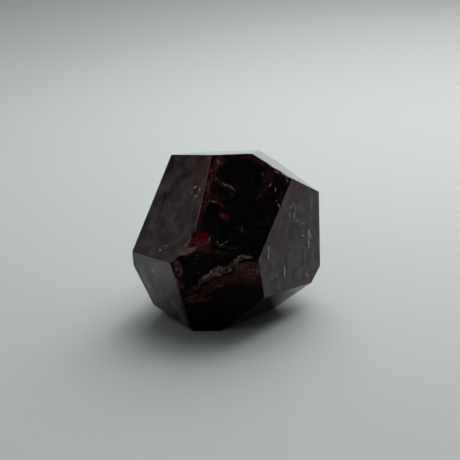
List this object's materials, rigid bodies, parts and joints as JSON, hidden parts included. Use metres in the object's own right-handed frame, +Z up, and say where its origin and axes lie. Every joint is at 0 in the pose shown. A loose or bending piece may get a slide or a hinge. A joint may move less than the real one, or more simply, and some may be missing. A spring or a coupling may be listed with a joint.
{
  "type": "garnet crystal",
  "caption": "Polished faceted garnet crystal that stands on its flat base, with one broken, ledged front face.",
  "frame": {"origin": "centre of the bounding box in x and y, on the plane that the base facet rests on", "axes": "+X to the right and +Z up as the broken facet is looked at, +Y away from the looker into the stone"},
  "size_m": [0.0496, 0.045, 0.0447],
  "materials": {
    "garnet": "polished facets, dark red and clear only at thin edges, with frosted broken ledges"
  },
  "bodies": {
    "root": {"garnet_crystal": "garnet"}
  },
  "joints": []
}
